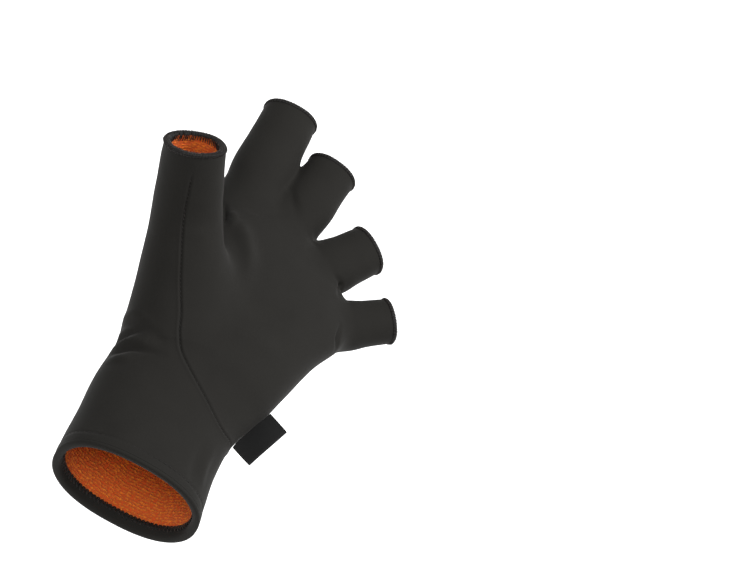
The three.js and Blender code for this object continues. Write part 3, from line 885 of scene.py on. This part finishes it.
def sleeve(tube, scene, reach, columns, seed):
    """Rows of terry loops inside one end of the lining, as a closed wall in structured rings."""
    c = scene.glove_cloth
    outer = c.shell_wall + c.layer_gap
    inner = outer + c.lining_wall
    angles = np.linspace(0, 2 * math.pi, columns, endpoint=False)
    start = tube.edge + 0.1 * MM
    down = np.arange(start, reach, c.row_pitch / 5)
    back = np.linspace(reach, start, max(3, int((reach - start) / (4 * MM))))
    rng = np.random.default_rng(seed)
    wavy = sum(size * np.sin(turns * angles + rng.uniform(0, 6.28)) * MM
               for size, turns in ROW_WAVES)
    phase = (down[:, None] + wavy[None, :]) / c.row_pitch
    row = np.floor(phase).astype(int)
    row -= row.min()
    amount = rng.uniform(0.05, 1.0, (row.max() + 2, columns))
    column = np.broadcast_to(np.arange(columns), row.shape)
    lift = (0.5 - 0.5 * np.cos(2 * math.pi * phase)) * amount[row, column]
    fade = np.clip((down - start) / (1.5 * MM), 0, 1) * np.clip((reach - down) / (1.5 * MM), 0, 1)
    lift = lift * fade[:, None]
    inside = tube.ring(down, inner + c.row_height * lift, angles)
    outside = tube.ring(back, np.full(len(back), outer), angles)
    points = np.concatenate([inside.reshape(-1, 3), outside.reshape(-1, 3)])
    faces = outward(points, grid_faces(len(down) + len(back), columns, True))
    # Row height of each point, which also sets the painted shade between the rows. The outer wall gets
    # one middle value.
    pile = np.concatenate([lift.ravel(), np.full(len(back) * columns, 0.5)])
    return points, faces, pile


def closed_hoop(name, tube, profile, columns, unevenness, material, slot, node):
    """Endless ring with one profile of (inset, along) points carried round a rim."""
    angles = np.linspace(0, 2 * math.pi, columns, endpoint=False)
    inset, along = np.array(profile).T
    inset = inset[:, None] + unevenness(along[:, None], angles[None, :])
    points = tube.ring(along, inset, angles).reshape(-1, 3)
    faces = outward(points, grid_faces(len(profile), columns, True))
    obj = linked(name, mesh_from(name, points, faces))
    smooth(obj.data, 60)
    dress(obj, material, slot, node)


def thread_mesh(name, path, radius, sides=5):
    """A short thread along a path, as a tube with closed ends."""
    path = catmull(path, np.linspace(0, len(path) - 1, len(path) * 2 - 1))
    ahead = np.gradient(path, axis=0)
    ahead /= lengths(ahead)[:, None]
    side = np.cross(ahead, [0.37, 0.21, 0.9])
    points, faces = [], []
    for i, (place, go) in enumerate(zip(path, ahead)):
        if i:
            side[i] = side[i - 1] - go * (side[i - 1] @ go)
        side[i] /= lengths(side[i])
        up = np.cross(go, side[i])
        for j in range(sides):
            turn = 2 * math.pi * j / sides
            points.append(place + radius * (math.cos(turn) * side[i] + math.sin(turn) * up))
    faces = outward(points, grid_faces(len(path), sides, False))
    turned = faces[0][0] != 0
    first = tuple(range(sides))
    last = tuple((len(path) - 1) * sides + j for j in range(sides))
    faces = list(faces) + ([first, last[::-1]] if turned else [first[::-1], last])
    return mesh_from(name, points, faces)


def stitch_tree():
    """Geometry nodes: one stitch repeated along a line, standing on the line's 'out' vector."""
    tree = bpy.data.node_groups.new("stitches along a line", "GeometryNodeTree")
    for name, kind in (("Geometry", "Geometry"), ("Stitch", "Object"), ("Spacing", "Float"),
                       ("Turn", "Float"), ("Size spread", "Float"), ("Seed", "Int"),
                       ("Material", "Material")):
        tree.interface.new_socket(name, in_out="INPUT", socket_type="NodeSocket" + kind)
    tree.interface.new_socket("Geometry", in_out="OUTPUT", socket_type="NodeSocketGeometry")
    given = tree.nodes.new("NodeGroupInput")
    curve = add_node(tree, "GeometryNodeMeshToCurve", Mesh=given.outputs["Geometry"])
    even = add_node(tree, "GeometryNodeResampleCurve", {"mode": "LENGTH"},
                    Curve=curve.outputs[0], Length=given.outputs["Spacing"])
    out = add_node(tree, "GeometryNodeInputNamedAttribute", {"data_type": "FLOAT_VECTOR"},
                   Name="out")
    tangent = tree.nodes.new("GeometryNodeInputTangent")
    stand = add_node(tree, "FunctionNodeAlignRotationToVector", {"axis": "Z"},
                     Vector=out.outputs[0])
    face_on = add_node(tree, "FunctionNodeAlignRotationToVector", {"axis": "X", "pivot_axis": "Z"},
                       Rotation=stand.outputs[0], Vector=tangent.outputs[0])
    spread = add_node(tree, "ShaderNodeMath", {"operation": "SUBTRACT"}, at0=1.0,
                      at1=given.outputs["Size spread"])
    scale = add_node(tree, "FunctionNodeRandomValue", {"data_type": "FLOAT"}, Max=1.0,
                     Seed=given.outputs["Seed"])
    tree.links.new(spread.outputs[0], scale.inputs[2])
    less = add_node(tree, "ShaderNodeMath", {"operation": "MULTIPLY"},
                    at0=given.outputs["Turn"], at1=-1.0)
    turn = add_node(tree, "FunctionNodeRandomValue", {"data_type": "FLOAT"},
                    Seed=given.outputs["Seed"])
    tree.links.new(less.outputs[0], turn.inputs[2])
    tree.links.new(given.outputs["Turn"], turn.inputs[3])
    spin = add_node(tree, "FunctionNodeAxisAngleToRotation", Axis=(0, 0, 1),
                    Angle=turn.outputs[1])
    both = add_node(tree, "FunctionNodeRotateRotation", {"rotation_space": "LOCAL"},
                    Rotation=face_on.outputs[0], at1=spin.outputs[0])
    stitch = add_node(tree, "GeometryNodeObjectInfo", Object=given.outputs["Stitch"])
    repeat = add_node(tree, "GeometryNodeInstanceOnPoints", Points=even.outputs[0],
                      Instance=stitch.outputs["Geometry"], Rotation=both.outputs[0],
                      Scale=scale.outputs[1])
    real = add_node(tree, "GeometryNodeRealizeInstances", Geometry=repeat.outputs[0])
    thread = add_node(tree, "GeometryNodeSetMaterial", Geometry=real.outputs[0],
                      Material=given.outputs["Material"])
    result = tree.nodes.new("NodeGroupOutput")
    tree.links.new(thread.outputs[0], result.inputs[0])
    return tree


def stitch_line(name, points, out, closed, stitch, spacing, material, turn, spread, seed):
    """A line of stitches as one plain mesh object. The spacing is evened out over the line."""
    points = np.asarray(points)
    count = len(points)
    edges = [(i, i + 1) for i in range(count - 1)] + ([(count - 1, 0)] if closed else [])
    mesh = bpy.data.meshes.new(name)
    mesh.from_pydata([tuple(p) for p in points], edges, [])
    attribute = mesh.attributes.new("out", "FLOAT_VECTOR", "POINT")
    attribute.data.foreach_set("vector", np.asarray(out, dtype=np.float32).ravel())
    obj = linked(name, mesh)
    tree = bpy.data.node_groups.get("stitches along a line") or stitch_tree()
    wrap = np.vstack([points, points[:1]]) if closed else points
    length = lengths(np.diff(wrap, axis=0)).sum()
    values = {
        "Stitch": stitch, "Spacing": length / max(1, round(length / spacing)) * 1.0001,
        "Turn": turn, "Size spread": spread, "Seed": seed, "Material": material,
    }
    repeat = obj.modifiers.new("stitches", "NODES")
    repeat.node_group = tree
    for item in tree.interface.items_tree:
        if item.in_out == "INPUT" and item.name in values:
            repeat[item.identifier] = values[item.name]
    evaluated(obj, name)
    obj.data.shade_smooth()
    return obj


def stitch_object(name, meshes):
    """A hidden sample stitch made of a few threads."""
    work = bmesh.new()
    for mesh in meshes:
        work.from_mesh(mesh)
        bpy.data.meshes.remove(mesh)
    mesh = bpy.data.meshes.new(name)
    work.to_mesh(mesh)
    work.free()
    return linked(name, mesh)


def sew(name, threads, line, out, closed, spacing, material, seed, spread, turn=0.0):
    """A finished row of stitches. Threads are the path and the radius of each in a stitch."""
    sample = stitch_object("stitch sample", [
        thread_mesh("thread", path, radius) for path, radius in threads])
    obj = stitch_line(name, line, out, closed, sample, spacing, material, turn, spread, seed)
    dress(obj, material, "overlock_thread")
    bpy.data.objects.remove(sample)


def rim_line(tube, along, inset, columns=120):
    """Points round a rim and the direction out of its mouth, turning so that Z x X faces out."""
    angles = np.linspace(0, 2 * math.pi, columns, endpoint=False)
    points = tube.ring(np.array([along]), np.array([inset]), angles)[0]
    mouth = -tube.normal[1]
    middle = points.mean(0)
    if np.cross(mouth, points[1] - points[0]) @ (points[0] - middle) < 0:
        points = points[::-1]
    return points, np.broadcast_to(mouth, points.shape)


class GLOVE_OT_stage(bpy.types.Operator):
    """Makes the pale floor, the soft lights and the camera"""
    bl_idname = "glove.stage"
    bl_label = "Stage"

    def execute(self, context):
        scene = context.scene
        right, up = Vector(CAMERA_RIGHT), Vector(CAMERA_UP)
        back = right.cross(up).normalized()
        up = back.cross(right).normalized()
        right = up.cross(back).normalized()
        turn = Matrix((right, up, back)).transposed()

        camera = bpy.data.cameras.new("camera")
        camera.sensor_width = 36
        camera.lens = camera.sensor_width * CAMERA_AWAY / VIEW_WIDTH
        camera.clip_start = 0.1
        camera.clip_end = 50
        eye = bpy.data.objects.new("camera", camera)
        scene.collection.objects.link(eye)
        eye.matrix_world = Matrix.Translation(
            right * CAMERA_PLACE[0] + up * CAMERA_PLACE[1] + back * CAMERA_AWAY) @ turn.to_4x4()
        scene.camera = eye

        ground, _, shader = new_material("floor_paint")
        shader_values(shader, Base_Color=scene.glove_colours.floor, Roughness=0.9)
        half, low = FLOOR_HALF, FLOOR_LEVEL
        floor = linked("floor", mesh_from(
            "floor", [(-half, -half, low), (half, -half, low), (half, half, low), (-half, half, low)],
            [(0, 1, 2, 3)]))
        floor.data.materials.append(ground)

        centre = right * 0.01 + up * 0.08
        for name, to_right, to_up, to_back, power, spread in LIGHTS:
            way = right * to_right + up * to_up + back * to_back
            lamp = bpy.data.lights.new(name, "SUN")
            lamp.energy = power
            lamp.angle = math.radians(spread)
            light = bpy.data.objects.new(name, lamp)
            scene.collection.objects.link(light)
            light.location = centre + way
            light.rotation_mode = "QUATERNION"
            light.rotation_quaternion = way.to_track_quat("Z", "Y")

        world = bpy.data.worlds.new("studio")
        world.use_nodes = True
        world.node_tree.nodes["Background"].inputs[0].default_value = (1, 1, 1, 1)
        world.node_tree.nodes["Background"].inputs[1].default_value = 0.36
        scene.world = world
        scene.view_settings.view_transform = "Standard"
        return {"FINISHED"}


class GLOVE_OT_panels(bpy.types.Operator):
    """Makes the hand panel and the cuff panel of stretch jersey"""
    bl_idname = "glove.panels"
    bl_label = "Jersey panels"

    def execute(self, context):
        scene = context.scene
        c = scene.glove_cloth
        form = GloveForm(scene)
        work, layer = open_cloth(form, c.cloth_grid, 0.0, 0.1 * MM, True)
        way = form.seam_side(work_points(work))
        way = np.where(np.abs(way) < SEAM_SNAP, 0.0, way)
        set_values(work, layer, way)
        cut_mesh(work, layer)
        points, normals = form.settle(work_points(work), 0.0, 1)
        move_points(work, points + normals * form.relief(points, normals)[:, None])
        for name, sign, node in (("hand_panel_cloth", 1, "hand_panel"),
                                 ("cuff_panel_cloth", -1, "cuff_panel")):
            part = work.copy()
            keep_side(part, part.verts.layers.float["cut"], sign)
            drop_loose(part)
            obj = linked(name, finished_mesh(part, name))
            cloth_wall(obj, c.shell_wall)
            dress(obj, stretch_jersey(scene), "stretch_jersey", node)
        work.free()
        return {"FINISHED"}


class GLOVE_OT_lining(bpy.types.Operator):
    """Makes the orange knitted lining, with its rows of loops at the open ends"""
    bl_idname = "glove.lining"
    bl_label = "Knitted lining"

    def execute(self, context):
        scene = context.scene
        c = scene.glove_cloth
        form = GloveForm(scene)
        depth = c.shell_wall + c.layer_gap
        edges = {tube.name: tube.edge for tube in form.tubes}
        for tube in form.tubes:
            tube.edge = SLEEVES[tube.name][0] * MM
        work, _ = open_cloth(form, c.lining_grid, -depth, 0.05 * MM, False)
        for tube in form.tubes:
            tube.edge = edges[tube.name]
        points, normals = form.settle(work_points(work), -depth, 1)
        height = form.relief(points + normals * depth, normals)
        move_points(work, points + normals * height[:, None])
        obj = linked("lining_knit", finished_mesh(work, "lining_knit"))
        cloth_wall(obj, c.lining_wall)
        plain, _ = mesh_arrays(obj.data)
        all_points = [plain]
        all_faces = [tuple(p.vertices) for p in obj.data.polygons]
        # Row heights for the painted shade between the rows. The plain wall has one middle value.
        pile = [np.full(len(plain), 0.55)]
        for seed, tube in enumerate(form.tubes):
            reach, columns = SLEEVES[tube.name]
            points, faces, own = sleeve(tube, scene, reach * MM, columns, seed)
            start = sum(len(p) for p in all_points)
            all_faces += [tuple(v + start for v in face) for face in faces]
            all_points.append(points)
            pile.append(own)
        mesh = mesh_from("lining_knit", np.concatenate(all_points), all_faces)
        # Stored on the points for the lining's painted shade.
        shade_layer = mesh.attributes.new("pile", "FLOAT", "POINT")
        shade_layer.data.foreach_set("value", np.concatenate(pile).astype(np.float32))
        obj.data = mesh
        smooth(mesh, 65)
        dress(obj, lining_knit(scene), "lining_knit", "lining")
        return {"FINISHED"}


class GLOVE_OT_cuff_hem(bpy.types.Operator):
    """Makes the black hem that folds over the cuff edge and inwards"""
    bl_idname = "glove.cuff_hem"
    bl_label = "Cuff hem"

    def execute(self, context):
        scene = context.scene
        c = scene.glove_cloth
        hand = glove_tubes(scene)[0]
        over = 2 * c.layer_gap + c.shell_wall + c.lining_wall
        under = over + c.band_wall
        top = 0.55 * c.roll_height
        profile = [(0.0, c.roll_height), (over, c.roll_height)]
        profile += [(over, y * MM) for y in np.linspace(3.0, 5.2, 4)]
        profile += [(over + 0.15 * MM, c.band_width), (under - 0.15 * MM, c.band_width)]
        profile += [(under, y * MM) for y in np.linspace(5.2, 1.9, 5)]
        for turn in np.linspace(0, math.pi, 9):
            middle = under / 2
            profile.append((middle + math.cos(turn) * middle, top - math.sin(turn) * top))
        profile.append((0.0, 0.75 * c.roll_height))

        def waves(along, angles):
            deep = np.clip((along - 1.5 * MM) / (4 * MM), 0, 1)
            ripple = 0.16 * np.sin(13 * angles + 1) + 0.1 * np.sin(29 * angles)
            return np.maximum(0, ripple) * deep * MM

        closed_hoop("cuff_hem_band", hand, profile, 230, waves, stretch_jersey(scene),
                    "stretch_jersey", "cuff_hem")
        return {"FINISHED"}


class GLOVE_OT_stall_hems(bpy.types.Operator):
    """Makes the soft overlocked bead on the rim of each stall"""
    bl_idname = "glove.stall_hems"
    bl_label = "Stall hems"

    def execute(self, context):
        scene = context.scene
        c = scene.glove_cloth
        inner = c.layer_gap + c.shell_wall + 0.35 * MM
        middle = (inner - c.bead_proud) / 2
        half = (inner + c.bead_proud) / 2

        def bumps(along, angles):
            return 0.13 * MM * np.sin(61 * angles) * np.sin(along * 900 + 17 * angles)

        for tube in glove_tubes(scene)[1:]:
            profile = []
            for turn in np.linspace(0, 2 * math.pi, 16, endpoint=False):
                square = 2 / 3.0
                a, b = math.cos(turn), math.sin(turn)
                profile.append((middle + half * math.copysign(abs(a) ** square, a),
                                c.bead_height / 2 * (1 + math.copysign(abs(b) ** square, b))))
            closed_hoop(tube.name + "_hem_bead", tube, profile, 240, bumps, overlock_thread(scene),
                        "overlock_thread", tube.name + "_hem")
        return {"FINISHED"}


class GLOVE_OT_stitches(bpy.types.Operator):
    """Sews the overlock rims, the band's scalloped edge, the coverstitch and the panel seam"""
    bl_idname = "glove.stitches"
    bl_label = "Stitches"

    def execute(self, context):
        scene = context.scene
        c, s = scene.glove_cloth, scene.glove_stitches
        form = GloveForm(scene)
        thread = overlock_thread(scene)
        inner = 2 * c.layer_gap + c.shell_wall + c.lining_wall
        proud = c.bead_proud

        # X runs along the rim, Y out of the cloth, Z out of the stall's mouth.
        low, r = -s.overlock_depth, s.overlock_thread
        step = s.overlock_step
        side_in = -inner - 0.1 * MM
        over = [
            (-0.5 * step, side_in + 0.35 * MM, low), (-0.38 * step, side_in, low + 0.9 * MM),
            (-0.12 * step, side_in - 0.1 * MM, low + 2.4 * MM), (-0.02 * step, side_in, -0.7 * MM),
            (0.0, side_in * 0.55, 0.22 * MM), (0.0, -0.3 * MM, 0.12 * MM),
            (0.04 * step, proud + r, -0.7 * MM), (0.1 * step, proud + r, -1.4 * MM),
            (0.26 * step, 0.5 * r, -2.1 * MM), (0.42 * step, proud + r, -1.4 * MM),
            (0.5 * step, proud + r, -0.7 * MM), (0.5 * step, -0.4 * MM, 0.12 * MM),
        ]
        under = [
            (0.5 * step, side_in * 0.55, 0.2 * MM), (0.48 * step, side_in, -0.7 * MM),
            (0.36 * step, side_in - 0.15 * MM, low + 2.0 * MM),
            (0.5 * step, side_in + 0.3 * MM, low + 0.1 * MM),
        ]
        for seed, tube in enumerate(form.tubes[1:], 3):
            sew(tube.name + "_overlock", [(over, r), (under, r)], *rim_line(tube, 0.0, 0.0), True,
                step, thread, seed, 0.16, turn=0.1)

        # Loops over the raw edge of the band inside the cuff
        hand = form.tubes[0]
        step = s.scallop_step
        band = inner + c.band_wall
        loop = [
            (-0.5 * step, 0.1 * MM, 2.6 * MM), (-0.46 * step, -r, 1.8 * MM),
            (-0.4 * step, -r, 0.6 * MM), (-0.2 * step, -0.2 * MM, -0.35 * MM),
            (0.0, 0.5 * MM, -0.7 * MM), (0.2 * step, -0.2 * MM, -0.35 * MM),
            (0.4 * step, -r, 0.6 * MM), (0.46 * step, -r, 1.8 * MM), (0.5 * step, 0.1 * MM, 2.6 * MM),
        ]
        slant = [
            (-0.5 * step, 0.1 * MM, 2.5 * MM), (-0.2 * step, -1.4 * r, 1.7 * MM),
            (0.15 * step, -1.4 * r, 0.7 * MM), (0.5 * step, 0.2 * MM, -0.2 * MM),
        ]
        sew("cuff_overlock", [(loop, r * 1.6), (slant, r * 1.1)],
            *rim_line(hand, c.band_width, band, 240), True, step, thread, 11, 0.12)

        # Straight stitches in the groove outside the cuff
        step = s.cover_step
        dash = [(-0.42 * step, -0.35 * MM, 0), (-0.3 * step, 0.02 * MM, 0), (0, 0.1 * MM, 0),
                (0.3 * step, 0.02 * MM, 0), (0.42 * step, -0.35 * MM, 0)]
        sew("cuff_coverstitch", [(dash, FINE_THREAD)],
            *rim_line(hand, s.cover_along, 0.26 * MM, 240), True, step, thread, 21, 0.05)

        # Small stitches down in the panel seam
        step = s.seam_step
        tack = [(-0.3 * step, -0.3 * MM, -0.1 * MM), (-0.1 * step, -0.08 * MM, 0.12 * MM),
                (0.1 * step, 0.08 * MM, 0.12 * MM), (0.3 * step, 0.3 * MM, -0.1 * MM)]
        line, out = form.seam_path()
        sew("seam_stitches", [(tack, FINE_THREAD)], line - out * 0.42 * MM, out, False, step, thread,
            31, 0.3, turn=0.2)
        return {"FINISHED"}


class GLOVE_OT_tag(bpy.types.Operator):
    """Makes the blank tag, a strip of tape folded double and sewn into the side"""
    bl_idname = "glove.tag"
    bl_label = "Side tag"

    def execute(self, context):
        scene = context.scene
        c = scene.glove_cloth
        hand = glove_tubes(scene)[0]
        places = np.linspace(*TAG_ROWS, 26)
        cut = catmull(hand.rows, places)
        edge = cut[:, :3] + cut[:, 3:6] * (1 + c.layer_gap / lengths(cut[:, 3:6]))[:, None]
        reach = np.array([math.cos(c.tag_lean), -math.sin(c.tag_lean), 0.0])
        rise = np.array([0, 0, 1.0])
        fold = 0.42 * MM
        path = [(v, fold * (1 + 0.25 * math.sin(3 * v))) for v in np.linspace(0, 0.955, 14)]
        path += [(0.955 + 0.04 * math.sin(a), fold * math.cos(a))
                 for a in np.linspace(0.3, math.pi - 0.3, 7)]
        path += [(v, -fold * (1 + 0.25 * math.sin(3 * v))) for v in np.linspace(0.955, 0, 14)]
        far = edge[0] + (edge[-1] - edge[0]) * np.linspace(0, 1, len(edge))[:, None]
        points, across = [], []
        for u, (sewn, straight) in enumerate(zip(edge, far)):
            share = u / (len(edge) - 1)
            for v, lift in path:
                start = sewn + (straight - sewn) * v
                bow = 0.0006 * math.sin(math.pi * share) * v + 0.0004 * math.sin(5 * share + 1) * v * v
                points.append(start + reach * v * c.tag_reach + rise * (lift + bow))
                across.append((share * 28.0, v * 12.0))
        columns = len(path)
        faces = [(u * columns + v, (u + 1) * columns + v, (u + 1) * columns + v + 1, u * columns + v + 1)
                 for u in range(len(edge) - 1) for v in range(columns - 1)]
        mesh = mesh_from("tag_loop", points, faces)
        chart = mesh.uv_layers.new(name="tape")
        for loop in mesh.loops:
            chart.data[loop.index].uv = across[loop.vertex_index]
        obj = linked("tag_loop", mesh)
        cloth_wall(obj, c.tag_ply, 0.0, 50)
        dress(obj, woven_tape(scene), "tag_tape", "side_tag")
        return {"FINISHED"}


class GLOVE_PT_sizes(bpy.types.Panel):
    """Sizes and colours of the glove, and the buttons that make its pieces"""
    bl_label = "Fishing glove"
    bl_idname = "GLOVE_PT_sizes"
    bl_space_type = "VIEW_3D"
    bl_region_type = "UI"
    bl_category = "Glove"

    def draw(self, context):
        scene = context.scene
        for title, group in (("Worn form", scene.glove_sizes), ("Cloth", scene.glove_cloth),
                             ("Stitches", scene.glove_stitches), ("Colours", scene.glove_colours)):
            box = self.layout.box()
            box.label(text=title)
            for key in group.bl_rna.properties.keys():
                if key not in ("rna_type", "name"):
                    box.prop(group, key)
        for operator in OPERATORS:
            self.layout.operator(operator.bl_idname)


GROUPS = {
    "glove_sizes": GloveSizes,
    "glove_cloth": ClothSizes,
    "glove_stitches": StitchSizes,
    "glove_colours": GloveColours,
}
OPERATORS = [
    GLOVE_OT_stage, GLOVE_OT_panels, GLOVE_OT_lining, GLOVE_OT_cuff_hem, GLOVE_OT_stall_hems,
    GLOVE_OT_stitches, GLOVE_OT_tag,
]


def register():
    for name, group in GROUPS.items():
        bpy.utils.register_class(group)
        setattr(bpy.types.Scene, name, bpy.props.PointerProperty(type=group))
    for item in [*OPERATORS, GLOVE_PT_sizes]:
        bpy.utils.register_class(item)


def unregister():
    for item in reversed([*OPERATORS, GLOVE_PT_sizes]):
        bpy.utils.unregister_class(item)
    for name, group in GROUPS.items():
        delattr(bpy.types.Scene, name)
        bpy.utils.unregister_class(group)


def main():
    register()
    for operator in OPERATORS:
        group, name = operator.bl_idname.split(".")
        getattr(getattr(bpy.ops, group), name)()


if __name__ == "__main__":
    main()
